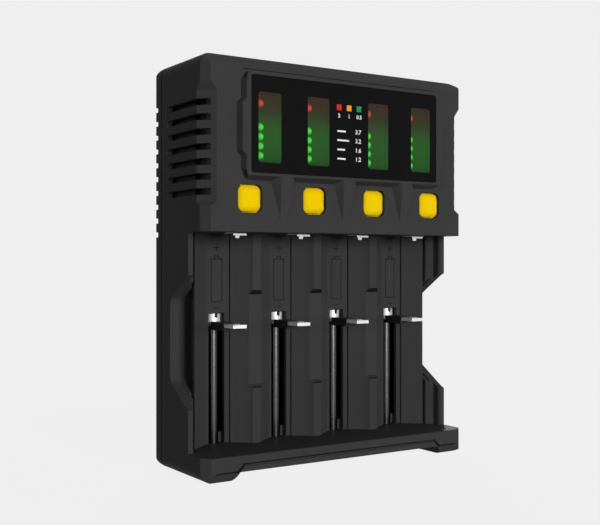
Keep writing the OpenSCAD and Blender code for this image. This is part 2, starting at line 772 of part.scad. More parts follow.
// Contact plate with a dimple, its neck, and a lug curved round the front of the rod
module slider_contact(i) {
    notch = 1.5;
    color("silver") translate([bays[i], 0, plate_z]) difference() {
        union() {
            box([-plate_w / 2, contact_d, 0], [plate_w / 2, contact_d + plate_l, plate_t]);
            translate([0, contact_d + 2.6, plate_t - 0.1]) cylinder(h = 0.4, r1 = 1.7, r2 = 1.2);
            box([-neck_w / 2, contact_d + plate_l - over, 0], [neck_w / 2, rod_axis_d - rod_d / 2 - lug_gap - lug_t / 2, plate_t]);
            translate([0, rod_axis_d, 0]) cylinder(h = lug_h, r = lug_r);
        }
        translate([0, rod_axis_d, -over]) cylinder(h = lug_h + 2 * over, r = rod_d / 2 + lug_gap);
        box([-lug_r - over, carriage_d, -over], [lug_r + over, rod_axis_d + lug_r + over, lug_h + over]);
        front_prism(arm_end_d, carriage_d + over) translate([0, lug_h - 1.6 + notch / 2]) {
            circle(d = notch);
            translate([-notch / 2, 0]) square([notch, over + notch]);
        }
    }
}

module guide_rod(i) {
    color("whitesmoke") translate([bays[i], rod_axis_d, rod_low_z]) cylinder(h = rod_high_z - rod_low_z, r = rod_d / 2);
}

// Closed helix with round wire, wound on the peg of the carriage and the peg above it
module slider_spring(i) {
    sides = 6;
    per_turn = 12;
    r = spring_d / 2 - spring_wire / 2;
    low = spring_low_z + spring_wire / 2 + 0.1;
    high = spring_high_z - spring_wire / 2 - 0.1;
    rings = spring_turns * per_turn;
    points = [for (k = [0:rings]) for (j = [0:sides - 1])
        let(a = k * 360 / per_turn, b = j * 360 / sides, q = r + spring_wire / 2 * cos(b))
        [q * cos(a), q * sin(a), low + (high - low) * k / rings + spring_wire / 2 * sin(b)]];
    walls = [for (k = [0:rings - 1]) for (j = [0:sides - 1])
        let(a = k * sides + j, b = k * sides + (j + 1) % sides) [a, b, b + sides, a + sides]];
    ends = [[for (j = [sides - 1:-1:0]) j], [for (j = [0:sides - 1]) rings * sides + j]];
    color("silver") translate([bays[i] + spring_side(i) * spring_x, spring_axis_d, 0])
        polyhedron(points = points, faces = concat(walls, ends), convexity = 10);
}

// Fixed contact under the head: tongue with a nub, riser and a leg to the main board
module top_contact(i) {
    tongue_z = head_z - 1.1;
    color("silver") translate([bays[i], 0, 0]) {
        box([-contact_w / 2, contact_d, tongue_z], [contact_w / 2, riser_d + contact_t, tongue_z + contact_t]);
        box([-contact_w / 2, riser_d, tongue_z], [contact_w / 2, riser_d + contact_t, contact_leg_z + contact_t]);
        box([-contact_w / 2, riser_d, contact_leg_z], [contact_w / 2, main_board_d, contact_leg_z + contact_t]);
        translate([0, contact_d + 2.4, tongue_z - 1]) cylinder(h = 1.2, r1 = 0.9, r2 = 1.3);
    }
}

// Brass strips that join the rods' tops to the main board
module rod_clips() {
    t = 0.5;
    w = rod_d / 2 - 1.1;
    back_d = main_board_d + board_t;
    color("goldenrod") for (x = bays) translate([x, 0, 0]) {
        box([-w, rod_axis_d - w, rod_high_z], [w, back_d + t, rod_high_z + t]);
        box([-w, back_d, rod_high_z], [w, back_d + t, contact_leg_z]);
    }
}

module board(x, zs, d, holes) {
    difference() {
        box([-x, d, zs[0]], [x, d + board_t, zs[1]]);
        for (p = holes) rod_y(p[0], p[1], d - over, d + board_t + over, board_screw_d / 2 + 0.1);
    }
}

module display_board() {
    color("darkgreen") board(display_board_x, display_board_z, display_board_d, display_bosses);
}

module main_board() {
    color("darkgreen") board(main_board_x, main_board_z, main_board_d, cover_posts);
}

// Header that joins the two boards
module board_link() {
    low = max(display_board_z[0], main_board_z[0]) + 9;
    color("black") box([-12.7, display_board_d + board_t, low], [12.7, main_board_d, low + 2.5]);
}

module power_coils() {
    color("peru") for (x = [-main_board_x + 12, -main_board_x + 36]) {
        translate([x, main_board_d, (main_board_z[0] + main_board_z[1]) / 2 + 5]) rotate([90, 0, 0]) {
            translate([0, 0, 4.1]) rotate_extrude() translate([5.6, 0]) circle(r = 3);
            cylinder(h = 1.1, r = 8.6);
        }
    }
}

module capacitors() {
    color("midnightblue") for (x = [8, 17]) for (z = [main_board_z[0] + 23, main_board_z[1] - 9]) {
        rod_y(x, z, main_board_d - 14, main_board_d, 4);
    }
}

module heat_sink() {
    fin = 1;
    fin_pitch = 2.75;
    low = main_board_z[0] + 7;
    high = main_board_z[1] - 15;
    left = main_board_x - 14;
    color("silver") {
        box([left, main_board_d - 3, low], [left + 4 * fin_pitch + fin, main_board_d, high]);
        for (i = [0:4]) box([left + i * fin_pitch, main_board_d - 12, low], [left + i * fin_pitch + fin, main_board_d - 2, high]);
    }
}

// Barrel socket for the mains adapter, open at the top of the case
module power_inlet() {
    body = [2 * collar_r + 1, 2 * (main_board_d - inlet_d), 13.4];
    top = height - wall - 0.05;
    color("black") difference() {
        union() {
            translate([inlet_x - body[0] / 2, main_board_d - body[1], top - body[2]]) cube(body);
            translate([inlet_x, inlet_d, top - 1]) cylinder(h = wall + 0.6, r = collar_r);
        }
        translate([inlet_x, inlet_d, height - inlet_depth]) cylinder(h = 20, r = inlet_bore / 2);
    }
    color("silver") translate([inlet_x, inlet_d, height - inlet_depth - 1]) cylinder(h = 9, r = inlet_pin / 2);
}

module case_screws() {
    color("silver") for (p = case_screws_at) {
        rod_y(p[0], p[1], seam_d - 6, case_depth - 1.9, screw_d / 2);
        difference() {
            rod_y(p[0], p[1], case_depth - 2, case_depth - 0.3, 2.7);
            rod_y(p[0], p[1], case_depth - 1.2, case_depth, 0.8);
        }
    }
}

module board_screws() {
    color("silver") {
        for (p = display_bosses) {
            rod_y(p[0], p[1], face_d + wall + 1, display_board_d + board_t, board_screw_d / 2 - seat_gap);
            rod_y(p[0], p[1], display_board_d + board_t, display_board_d + board_t + 1.2, 1.9);
        }
        for (p = cover_posts) {
            rod_y(p[0], p[1], main_board_d, main_board_d + board_t + 4, board_screw_d / 2 - seat_gap);
            rod_y(p[0], p[1], main_board_d - 1.2, main_board_d, 1.9);
        }
    }
}

module back_feet() {
    color("black") for (p = pads_at) rod_y(p[0], p[1], case_depth - 0.5, case_depth + pad_proud, pad_d / 2);
}

translate([0, -depth / 2, 0]) {
    front_shell();
    back_cover();
    display_panel();
    window(0);  // window_1
    window(1);  // window_2
    window(2);  // window_3
    window(3);  // window_4
    legend_marks();
    red_lights();
    green_lights();
    button(0);  // button_1
    button(1);  // button_2
    button(2);  // button_3
    button(3);  // button_4
    switch_plunger(0);  // switch_plunger_1
    switch_plunger(1);  // switch_plunger_2
    switch_plunger(2);  // switch_plunger_3
    switch_plunger(3);  // switch_plunger_4
    switch_cases();
    slider(0);  // slider_1
    slider(1);  // slider_2
    slider(2);  // slider_3
    slider(3);  // slider_4
    slider_contact(0);  // slider_contact_1
    slider_contact(1);  // slider_contact_2
    slider_contact(2);  // slider_contact_3
    slider_contact(3);  // slider_contact_4
    guide_rod(0);  // guide_rod_1
    guide_rod(1);  // guide_rod_2
    guide_rod(2);  // guide_rod_3
    guide_rod(3);  // guide_rod_4
    slider_spring(0);  // slider_spring_1
    slider_spring(1);  // slider_spring_2
    slider_spring(2);  // slider_spring_3
    slider_spring(3);  // slider_spring_4
    top_contact(0);  // top_contact_1
    top_contact(1);  // top_contact_2
    top_contact(2);  // top_contact_3
    top_contact(3);  // top_contact_4
    rod_clips();
    display_board();
    main_board();
    board_link();
    power_coils();
    capacitors();
    heat_sink();
    power_inlet();
    case_screws();
    board_screws();
    back_feet();
}
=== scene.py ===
# %% [markdown]
# # A four-bay battery charger
# The charger stands upright: a head with a display and four yellow buttons, four open troughs for round
# cells, and a low base. The CAD model already holds its shapes and sizes. This lesson loads it as a fixed
# frame and gives it finishes, printed marks, moulded symbols and the small parts that a product photograph
# shows.

# %% Load the frame
import math

import bmesh
import bpy
from mathutils import Matrix, Vector


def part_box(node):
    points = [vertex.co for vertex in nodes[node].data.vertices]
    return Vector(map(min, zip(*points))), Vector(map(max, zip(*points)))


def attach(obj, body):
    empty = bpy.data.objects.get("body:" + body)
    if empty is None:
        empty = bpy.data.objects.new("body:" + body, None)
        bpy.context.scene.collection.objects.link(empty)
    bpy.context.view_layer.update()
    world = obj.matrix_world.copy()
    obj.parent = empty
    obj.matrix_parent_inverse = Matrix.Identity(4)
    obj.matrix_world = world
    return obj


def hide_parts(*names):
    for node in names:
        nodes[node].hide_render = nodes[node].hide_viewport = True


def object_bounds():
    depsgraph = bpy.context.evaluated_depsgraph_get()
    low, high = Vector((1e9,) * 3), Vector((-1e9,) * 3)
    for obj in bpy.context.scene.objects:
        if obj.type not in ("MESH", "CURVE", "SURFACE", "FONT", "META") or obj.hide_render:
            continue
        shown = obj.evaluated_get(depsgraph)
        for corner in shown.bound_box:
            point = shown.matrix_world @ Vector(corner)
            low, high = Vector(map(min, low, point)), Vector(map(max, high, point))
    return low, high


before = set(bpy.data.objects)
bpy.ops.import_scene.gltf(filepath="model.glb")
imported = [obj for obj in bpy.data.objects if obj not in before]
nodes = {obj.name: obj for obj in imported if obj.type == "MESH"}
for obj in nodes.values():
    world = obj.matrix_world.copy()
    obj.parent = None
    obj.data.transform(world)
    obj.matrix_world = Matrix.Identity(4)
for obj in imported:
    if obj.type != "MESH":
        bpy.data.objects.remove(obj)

MM = 0.001
BAYS = 4
scene = bpy.context.scene


def in_mm(box):
    """Corners of a box in millimetres, rounded for printing."""
    return [[round(v / MM, 1) for v in corner] for corner in box]


cad_box = [list(corner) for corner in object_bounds()]
print("CAD box in mm:", in_mm(cad_box))

# %% [markdown]
# ## The camera
# A camera stands where the photographer stood: level with the middle of the case, about 33 degrees to its
# left. Its place and lens were fitted to the edges of the case in the photograph, so that the frame can be
# compared region by region.

# %% Place the camera
def add_object(name, data):
    """Puts a mesh, lamp or camera into the scene as an object."""
    thing = bpy.data.objects.new(name, data)
    scene.collection.objects.link(thing)
    return thing


lens = bpy.data.cameras.new("photo_camera")
lens.lens = 59.24
lens.sensor_width = 36.0
camera = add_object("photo_camera", lens)
camera.location = (-0.22323, -0.33383, 0.07997)
camera.rotation_euler = (math.radians(90), 0, math.radians(-32.777))
scene.camera = camera
scene.view_settings.view_transform = "Standard"
print("camera", round(camera.location.length, 3), "m from the foot of the charger")

# %% [markdown]
# ## Shader maths as plain expressions
# A procedural finish is arithmetic on patterns. Wiring every sum by hand is slow to read, so one small
# class wraps a socket and turns Python's own operators into Math nodes. A second class holds a material
# and has one method that adds any other node.

# %% A socket that can be calculated with
class Signal:
    """One output of a shader node. Sums with numbers or other signals add Math nodes."""

    def __init__(self, tree, socket):
        self.tree, self.socket = tree, socket

    def maths(self, operation, first, second=None, clamp=False):
        node = self.tree.nodes.new("ShaderNodeMath")
        node.operation = operation
        node.use_clamp = clamp
        for slot, value in zip(node.inputs, (first, second)):
            if isinstance(value, Signal):
                self.tree.links.new(value.socket, slot)
            elif value is not None:
                slot.default_value = value
        return Signal(self.tree, node.outputs[0])

    def __add__(self, other):
        return self.maths("ADD", self, other)

    __radd__ = __add__

    def __sub__(self, other):
        return self.maths("SUBTRACT", self, other)

    def __rsub__(self, other):
        return self.maths("SUBTRACT", other, self)

    def __mul__(self, other):
        return self.maths("MULTIPLY", self, other)

    __rmul__ = __mul__

    def __truediv__(self, other):
        return self.maths("DIVIDE", self, other)

    def __rtruediv__(self, other):
        return self.maths("DIVIDE", other, self)

    def most(self, other):
        return self.maths("MAXIMUM", self, other)

    def limited(self):
        """The signal, kept between 0 and 1."""
        return self.maths("ADD", self, 0.0, clamp=True)


# %% Any other node
def fill_ramp(ramp, stops):
    """Gives a colour ramp its stops, each a place from 0 to 1 and a colour."""
    while len(ramp.elements) > 1:
        ramp.elements.remove(ramp.elements[-1])
    ramp.elements[0].position, ramp.elements[0].color = stops[0][0], (*stops[0][1], 1)
    for place, colour in stops[1:]:
        ramp.elements.new(place).color = (*colour, 1)


def add_node(tree, kind, settings=None, sockets=None, out=0):
    """Adds a node: first its settings, ramp stops among them, then the values or links of its sockets."""
    node = tree.nodes.new(kind)
    for name, value in (settings or {}).items():
        if name == "stops":
            fill_ramp(node.color_ramp, value)
        else:
            setattr(node, name, value)
    for name, value in (sockets or {}).items():
        slot = next(s for s in node.inputs if name in (s.identifier, s.name))
        if isinstance(value, Signal):
            tree.links.new(value.socket, slot)
        else:
            slot.default_value = value
    if not node.outputs:
        return None
    if isinstance(out, int):
        return Signal(tree, node.outputs[out])
    return Signal(tree, next(s for s in node.outputs if out in (s.identifier, s.name)))


# %% A finish: a material and its nodes
def shade(value, colour=(1, 1, 1)):
    """A colour times a value, as a colour socket takes it. Without a colour it is a grey."""
    return (value * colour[0], value * colour[1], value * colour[2], 1)


class Finish:
    """A material under construction."""

    def __init__(self, name):
        self.material = bpy.data.materials.new(name)
        self.material.use_nodes = True
        self.tree = self.material.node_tree
        self.tree.nodes.clear()

    def node(self, kind, settings=None, sockets=None, out=0):
        return add_node(self.tree, kind, settings, sockets, out)

    def place(self):
        """Where a point is on the piece, in metres."""
        return self.node("ShaderNodeTexCoord", out="Object")

    def noise(self, size, detail=2.0, roughness=0.5, stretch=None):
        """Soft random pattern whose spots are about size metres across."""
        where = self.place()
        if stretch:
            sockets = {"Vector": where, "Scale": stretch}
            where = self.node("ShaderNodeMapping", {"vector_type": "POINT"}, sockets)
        sockets = {"Vector": where, "Scale": 1 / size, "Detail": detail, "Roughness": roughness}
        return self.node("ShaderNodeTexNoise", {"noise_dimensions": "3D"}, sockets, out="Fac")

    def blend(self, factor, first, second):
        """Colour between first and second."""
        sockets = {"Factor_Float": factor, "A_Color": first, "B_Color": second}
        return self.node("ShaderNodeMix", {"data_type": "RGBA"}, sockets, out="Result_Color")

    def varied(self, pattern, colour, lowest, highest=1.0):
        """The colour times lowest to highest, as the pattern goes from 0 to 1."""
        return self.blend(pattern, shade(lowest, colour), shade(highest, colour))

    def edge_normal(self, radius):
        """Normal that rounds hard edges, as a mould does."""
        return self.node("ShaderNodeBevel", {"samples": 6}, {"Radius": radius})

    def bump(self, height, distance, strength, normal):
        """Normal tilted by a pattern whose full height is distance metres."""
        sockets = {"Height": height, "Distance": distance, "Strength": strength, "Normal": normal}
        return self.node("ShaderNodeBump", {}, sockets)

    def edge_highlight_mask(self, rounded, gain=6.0):
        """Up to 1 on rounded edges, 0 on flat faces: where the painted highlight goes."""
        flat = self.node("ShaderNodeNewGeometry", out="Normal")
        sockets = {"Vector": rounded, "Vector_001": flat}
        along = self.node("ShaderNodeVectorMath", {"operation": "DOT_PRODUCT"}, sockets, out="Value")
        return ((1 - along) * gain).limited()

    def surface(self, **sockets):
        """Principled surface, straight to the output."""
        shader = self.node("ShaderNodeBsdfPrincipled", {}, sockets)
        self.node("ShaderNodeOutputMaterial", {}, {"Surface": shader})
        return self.material


# %% [markdown]
# ## The studio
# The photograph has a pale, even background and soft light that comes mainly from the front: the front of
# the head is brighter than its side. The strongest of four soft lamps stands in front, with weaker ones at
# both sides and behind, and the world adds a faint even light. What the camera, glossy and transmitted
# rays see is a plain pale tone that lights nothing. The floor mixes that tone with a real diffuse surface
# near the charger, which keeps a soft shadow, and fades into the plain tone further away, so that no
# horizon shows.

# %% Pale world
PALE = 0.862
FILL = 0.05


def seen_directly(tree):
    """1 for rays that show the background itself, 0 for rays that light the object."""
    names = ("Is Camera Ray", "Is Glossy Ray", "Is Transmission Ray")
    rays = [add_node(tree, "ShaderNodeLightPath", out=name) for name in names]
    return rays[0].most(rays[1]).most(rays[2])


world = bpy.data.worlds.new("studio_air")
world.use_nodes = True
air = world.node_tree
air.nodes.clear()
fill = add_node(air, "ShaderNodeBackground", {}, {"Color": shade(1), "Strength": FILL})
pale = add_node(air, "ShaderNodeBackground", {}, {"Color": shade(PALE), "Strength": 1.0})
direct = seen_directly(air)
sky = add_node(air, "ShaderNodeMixShader", {}, {"Fac": direct, "Shader": fill, "Shader_001": pale})
add_node(air, "ShaderNodeOutputWorld", {}, {"Surface": sky})
scene.world = world
print("world: fill", FILL, "background", PALE)

# %% Floor with a soft shadow
FLOOR_HALF = 6.0
FLOOR_DROP = 0.0002
FADE_START, FADE_LENGTH = 0.16, 0.25
NEAR_GLOW = 0.995
NEAR_SHARE = 0.85

floor_corners = [(x * FLOOR_HALF, y * FLOOR_HALF, 0) for x, y in ((-1, -1), (1, -1), (1, 1), (-1, 1))]
floor_mesh = bpy.data.meshes.new("studio_floor")
floor_mesh.from_pydata(floor_corners, [], [(0, 1, 2, 3)])
floor = add_object("studio_floor", floor_mesh)
floor.location.z = -FLOOR_DROP

paper = Finish("pale_paper")
reach = paper.node("ShaderNodeVectorMath", {"operation": "LENGTH"}, {"Vector": paper.place()}, out="Value")
far = ((reach - FADE_START) / FADE_LENGTH).limited()
matt = paper.node("ShaderNodeBsdfDiffuse", {}, {"Color": shade(0.3)})
glow_tone = paper.blend(far, shade(NEAR_GLOW), shade(PALE))
glow = paper.node("ShaderNodeEmission", {}, {"Color": glow_tone, "Strength": 1.0})
share = seen_directly(paper.tree) * (NEAR_SHARE + far * (1 - NEAR_SHARE))
mixed = paper.node("ShaderNodeMixShader", {}, {"Fac": share, "Shader": matt, "Shader_001": glow})
paper.node("ShaderNodeOutputMaterial", {}, {"Surface": mixed})
floor_mesh.materials.append(paper.material)
print("floor fades out", FADE_START + FADE_LENGTH, "m from the middle")

# %% Four soft lamps
LAMP_DISTANCE = 1.6
MIDDLE = Vector((0, 0, 0.08))


def soft_lamp(name, azimuth, elevation, size, level):
    """Square lamp aimed at the middle of the charger. Level 1 renders a white facing surface as white."""
    lamp = bpy.data.lights.new(name, "AREA")
    lamp.size = size
    lamp.energy = level * math.pi ** 2 * LAMP_DISTANCE ** 2
    a, e = math.radians(azimuth), math.radians(elevation)
    outwards = Vector((math.sin(a) * math.cos(e), -math.cos(a) * math.cos(e), math.sin(e)))
    holder = add_object(name, lamp)
    holder.location = MIDDLE + LAMP_DISTANCE * outwards
    holder.rotation_euler = (MIDDLE - holder.location).to_track_quat("-Z", "Y").to_euler()
    print(name, "energy", round(lamp.energy, 1), "W")


soft_lamp("front_lamp", 0, 5, 0.5, 0.99)
soft_lamp("left_lamp", -60, 0, 0.7, 0.28)
soft_lamp("right_lamp", 85, 0, 0.8, 0.3)
soft_lamp("back_lamp", 150, 10, 0.8, 0.7)

# %% [markdown]
# ## Textured charcoal plastic
# The case is injection moulded in a mould that was spark eroded, which leaves a fine grain of small pits.
# Its colour is a nearly black charcoal. The grain is a bump of fine noise, the colour varies by up to a
# tenth, and the Bevel node rounds the hard edges, so that they catch the light as moulded edges do. The
# rounded edges also get a painted highlight: their colour is blended towards a paler grey. A painted texture
# could do the same, but noise works at any size and needs no picture.

# %% Moulded plastic
# The painted highlight on rounded edges blends towards a grey this many times the body colour's brightest
# channel, at most white.
EDGE_HIGHLIGHT_GAIN = 2.2


def moulded_plastic(name, colour, roughness, grain=0.00022, depth=0.00002, shine=0.012,
        edge=0.0004, lift=0.25, mottle=0.1):
    """Grained plastic. Grain, depth and edge are in metres, and lift is how strongly the rounded edges get a
    painted highlight.
    """
    made = Finish(name)
    fine = made.noise(grain, 3.0, 0.6)
    broad = made.noise(0.018, 2.0)
    rounded = made.edge_normal(edge)
    tinted = made.varied(broad, colour, 1 - mottle, 1 + mottle)
    # Painted highlight: rounded edges are blended towards a paler grey, as if they caught the light.
    if lift:
        painted_edge_highlight = made.edge_highlight_mask(rounded) * lift
        tinted = made.blend(painted_edge_highlight, tinted, shade(min(1.0, EDGE_HIGHLIGHT_GAIN * max(colour))))
    return made.surface(**{
        "Base Color": tinted,
        "Roughness": (roughness - 0.06) + broad * 0.06 + fine * 0.06,
        "Specular IOR Level": shine,
        "Normal": made.bump(fine, depth, 0.6, rounded)})


case_plastic = moulded_plastic("case_plastic", (0.0385, 0.0385, 0.0392), 0.5)
dark_plastic = moulded_plastic("black_plastic", (0.016, 0.016, 0.016), 0.5, shine=0.12)
button_plastic = moulded_plastic("button_yellow", (0.79, 0.535, 0.0004), 0.42, grain=0.0003,
    depth=0.000008, edge=0.0003, lift=0.0, mottle=0.015)
print("moulded plastics made: case, black and yellow")

# %% [markdown]
# ## Display panel and its windows
# The panel is a smooth, nearly black sheet. The windows in it are smoked strips: the lights behind them tint
# the whole strip, reddish brown at the top, where the red light is, and green below. That tint is painted
# light: a ramp along the height of the strip, on the emission colour, so the strip glows though it is no
# lamp. The strip is partly transparent, so the lights themselves are seen behind it and shift with the
# viewer, as they do in reality.

# %% Smooth plastic for the panel
def smooth_plastic(name, colour, roughness, shine, edge=0.0002, waviness=0.000002):
    """Plain smooth plastic or lacquer. Edge and waviness are in metres."""
    made = Finish(name)
    haze = made.noise(0.006, 2.0)
    rounded = made.edge_normal(edge)
    return made.surface(**{
        "Base Color": made.varied(haze, colour, 0.9),
        "Roughness": (roughness - 0.03) + haze * 0.06,
        "Specular IOR Level": shine,
        "Normal": made.bump(haze, waviness, 0.5, rounded)})


panel_plastic = smooth_plastic("panel_plastic", (0.0042, 0.0042, 0.0044), 0.3, 0.035)
print("panel plastic made")

# %% Smoked windows
WINDOW_GLOW = [
    (0.0, (0.018, 0.066, 0.018)), (0.1, (0.0185, 0.088, 0.017)),
    (0.33, (0.022, 0.101, 0.020)), (0.49, (0.025, 0.093, 0.0187)),
    (0.6, (0.030, 0.072, 0.021)), (0.73, (0.033, 0.044, 0.018)),
    (0.86, (0.045, 0.031, 0.016)), (1.0, (0.043, 0.026, 0.018))]


def smoked_window(low, high):
    """Smoked strip with a painted glow that changes with its height, from low to high."""
    made = Finish("window")
    z = made.node("ShaderNodeSeparateXYZ", {}, {"Vector": made.place()}, out="Z")
    level = (z - low) / (high - low)
    haze = made.noise(0.003)
    return made.surface(**{
        "Base Color": made.blend(haze, (0.004, 0.005, 0.004, 1), (0.006, 0.008, 0.006, 1)),
        "Roughness": 0.2 + haze * 0.06,
        "Specular IOR Level": 0.025,
        "Alpha": 0.72 + haze * 0.02,
        # Painted light: the emission ramp stands for the glow of the lights behind the strip.
        "Emission Color": made.node("ShaderNodeValToRGB", {"stops": WINDOW_GLOW}, {"Fac": level}),
        "Emission Strength": 1.0,
        "Normal": made.edge_normal(0.0002)})


window_low, window_high = (corner.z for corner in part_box("window_1"))
window_glass = smoked_window(window_low, window_high)
print("windows from z", round(window_low / MM, 1), "to", round(window_high / MM, 1), "mm")

# %% [markdown]
# ## Metals
# The contacts are bent from plated strip, the guide rods are ground and chromed, and the springs are drawn
# wire. Plated strip has a faint rolling grain, so its noise is stretched along one direction. The plating of
# the sliding contacts is matt and whitish, which a low metallic share gives, while the fixed contacts stay
# plain metal. The chromed rods get a dark colour: painted shade for the dark slot that they reflect.

# %% Plated and drawn metals
def metal(name, colour, roughness, grain=(1, 1, 1), size=0.0008, depth=0.000003, spread=0.08,
        edge=0.00015, tarnish=0.12, bare=1.0):
    """Metal with a streaked surface. Size, depth and edge are in metres, and bare is its metallic share."""
    made = Finish(name)
    streaks = made.noise(size, 3.0, 0.6, stretch=grain)
    stains = made.noise(0.004, 3.0)
    rounded = made.edge_normal(edge)
    return made.surface(**{
        "Base Color": made.varied(stains, colour, 1 - tarnish),
        "Metallic": bare,
        "Roughness": roughness + streaks * spread,
        "Normal": made.bump(streaks, depth, 0.5, rounded)})


nickel = metal("nickel", (0.74, 0.735, 0.72), 0.34, grain=(0.1, 1, 1), bare=0.35)
contact_strip = metal("contact_strip", (0.8, 0.79, 0.77), 0.2, grain=(0.1, 1, 1))
# Painted shade: the chromed rods get a dark colour, for the dark slot that they reflect.
chrome = metal("chrome", (0.06, 0.058, 0.055), 0.2, grain=(0.05, 0.05, 2.0), size=0.0004)
spring_steel = metal("spring_steel", (0.5, 0.5, 0.5), 0.25)
switch_metal = metal("switch_metal", (0.55, 0.55, 0.55), 0.35)
brass = metal("brass", (0.78, 0.6, 0.3), 0.3)
screw_steel = metal("screw_steel", (0.3, 0.3, 0.31), 0.3)
aluminium = metal("aluminium", (0.68, 0.69, 0.71), 0.35, grain=(1, 1, 0.05))
coil_copper = metal("coil_copper", (0.6, 0.25, 0.1), 0.3, grain=(1, 1, 6.0), size=0.0006,
    depth=0.00008)
print("metals made")

# %% [markdown]
# ## Boards, sleeves, feet and inks
# Circuit boards are lacquered green and capacitors have a shrunk blue sleeve, and both are smooth. The feet
# are matt rubber. Inks are thin and cover a little unevenly, which a weak noise on their colour gives. The
# darkest two are no print but painted shade: they stand for the shadow in grooves of the plastic.

# %% Boards, sleeves and feet
board_green = smooth_plastic("board_green", (0.012, 0.09, 0.03), 0.35, 0.3)
capacitor_blue = smooth_plastic("capacitor_sleeve", (0.03, 0.05, 0.16), 0.35, 0.3)
rubber = moulded_plastic("rubber", (0.02, 0.02, 0.02), 0.8, grain=0.0004, shine=0.1, lift=0.0)
print("board, sleeve and rubber made")

# %% Inks and painted shade
def print_and_shade_ink(name, colour, roughness=0.45):
    """Thin flat layer: printed ink, and also dark strips of painted shade."""
    made = Finish(name)
    cover = made.noise(0.0005, 2.0)
    return made.surface(**{
        "Base Color": made.varied(cover, colour, 0.88),
        "Roughness": roughness + cover * 0.1,
        "Specular IOR Level": 0.15})


white_ink = print_and_shade_ink("white_ink", (0.78, 0.78, 0.78))
red_ink = print_and_shade_ink("red_ink", (0.62, 0.012, 0.02))
orange_ink = print_and_shade_ink("orange_ink", (0.83, 0.29, 0.01))
green_ink = print_and_shade_ink("green_ink", (0.015, 0.26, 0.06))
# Painted shade: the two darkest layers are dark strips for the shadow in grooves and undercuts of the
# plastic.
line_shade = print_and_shade_ink("symbol_groove_shade", (0.006, 0.006, 0.006), 0.7)
deep_shade = print_and_shade_ink("undercut_shade", (0.0015, 0.0015, 0.0015), 0.8)
print("inks made")

# %% [markdown]
# ## Smooth copies of the curved parts
# The CAD parts come as loose triangles, which shade flat. Where a part has curves that show, such as the
# troughs, a copy of its mesh is joined at its shared corners, gets smooth shading with sharp edges kept,
# and stands in for the part. The normals that came with the part are dropped, because they would hide its
# small edges. The shape doesn't change.

# %% Join, smooth and stand in for a part
JOIN_DISTANCE = 0.000002
FLAT_WITHIN = math.radians(0.4)


def joined_copy(name, material, sharp=28.0, part=None):
    """Copy of a CAD part with shared corners and smooth shading. Edges above sharp degrees stay sharp."""
    mesh = nodes[name].data.copy()
    mesh.name = (part or name) + "_smooth"
    if mesh.has_custom_normals:
        mesh.attributes.remove(mesh.attributes["custom_normal"])
    shape = bmesh.new()
    shape.from_mesh(mesh)
    bmesh.ops.remove_doubles(shape, verts=shape.verts, dist=JOIN_DISTANCE)
    bmesh.ops.dissolve_limit(shape, angle_limit=FLAT_WITHIN, verts=shape.verts, edges=shape.edges)
    for face in shape.faces:
        face.smooth = True
    shape.to_mesh(mesh)
    shape.free()
    mesh.set_sharp_from_angle(angle=math.radians(sharp))
    mesh.materials.clear()
    mesh.materials.append(material)
    piece = add_object(mesh.name, mesh)
    weights = piece.modifiers.new("even_shading", "WEIGHTED_NORMAL")
    weights.keep_sharp = True
    return piece


def stand_in(name, material, body, sharp=28.0):
    """Smooth copy that is shown in place of a CAD part."""
    piece = joined_copy(name, material, sharp)
    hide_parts(name)
    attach(piece, body)
    return piece


shell = stand_in("front_shell", case_plastic, "case")
stand_in("back_cover", case_plastic, "case")
stand_in("back_feet", rubber, "case")
for i in range(1, BAYS + 1):
    stand_in(f"guide_rod_{i}", chrome, "case", 40)
    stand_in(f"slider_contact_{i}", nickel, f"slider_body_{i}")
    stand_in(f"top_contact_{i}", contact_strip, "case")
print("front shell:", len(shell.data.polygons), "faces after joining")

# %% [markdown]
# ## Button caps
# A real cap is a rounded square with a softly crowned face. The CAD cap is a flat block with a bevel. This
# cap is built from rings: each ring is a rounded square, the rings step inwards and forwards over the
# edge, and the last ones rise to the crown. The steps over the edge stand in a short list, so the profile
# can be changed by hand.

# %% Closed meshes from points and faces
def as_mesh(shape, name):
    """Turns a bmesh into a mesh and frees it."""
    mesh = bpy.data.meshes.new(name)
    shape.to_mesh(mesh)
    shape.free()
    return mesh


def closed_mesh(name, verts, faces, smooth_sides=0):
    """Mesh with every face turned outwards. Faces with up to smooth_sides sides are shaded smooth."""
    shape = bmesh.new()
    points = [shape.verts.new(place) for place in verts]
    for face in faces:
        shape.faces.new([points[k] for k in face]).smooth = len(face) <= smooth_sides
    bmesh.ops.recalc_face_normals(shape, faces=shape.faces)
    return as_mesh(shape, name)


# %% A solid through rounded squares
CORNER_STEPS = 6
CAP_SHARP = math.radians(25)


def rounded_square(half, radius):
    """Points round a square with rounded corners, in X and Z."""
    points = []
    for k, (sx, sz) in enumerate(((1, 1), (-1, 1), (-1, -1), (1, -1))):
        for j in range(CORNER_STEPS + 1):
            a = math.radians(90 * k + 90 * j / CORNER_STEPS)
            x = sx * (half - radius) + radius * math.cos(a)
            z = sz * (half - radius) + radius * math.sin(a)
            points.append((x, z))
    return points


def ring_solid(name, centre, rings):
    """Closed solid through rings given as (half width, corner radius, Y), from the back to the front."""
    verts, faces = [], []
    for half, radius, y in rings:
        verts += [(centre[0] + x, y, centre[1] + z) for x, z in rounded_square(half, radius)]
    n = len(verts) // len(rings)
    for first in range(0, len(verts) - n, n):
        for k in range(n):
            a, b = first + k, first + (k + 1) % n
            faces.append((a, b, b + n, a + n))
    faces.append(tuple(range(n)))
    faces.append(tuple(range(len(verts) - n, len(verts))))
    mesh = closed_mesh(name, verts, faces, smooth_sides=n)
    mesh.set_sharp_from_angle(angle=CAP_SHARP)
    return add_object(name, mesh)


# %% Four caps
cap_half, cap_corner = 4.72 * MM, 2.2 * MM
stem_half, stem_corner = 2.35 * MM, 2.3 * MM
flange_back, flange_thick = 2.9 * MM, 1.0 * MM
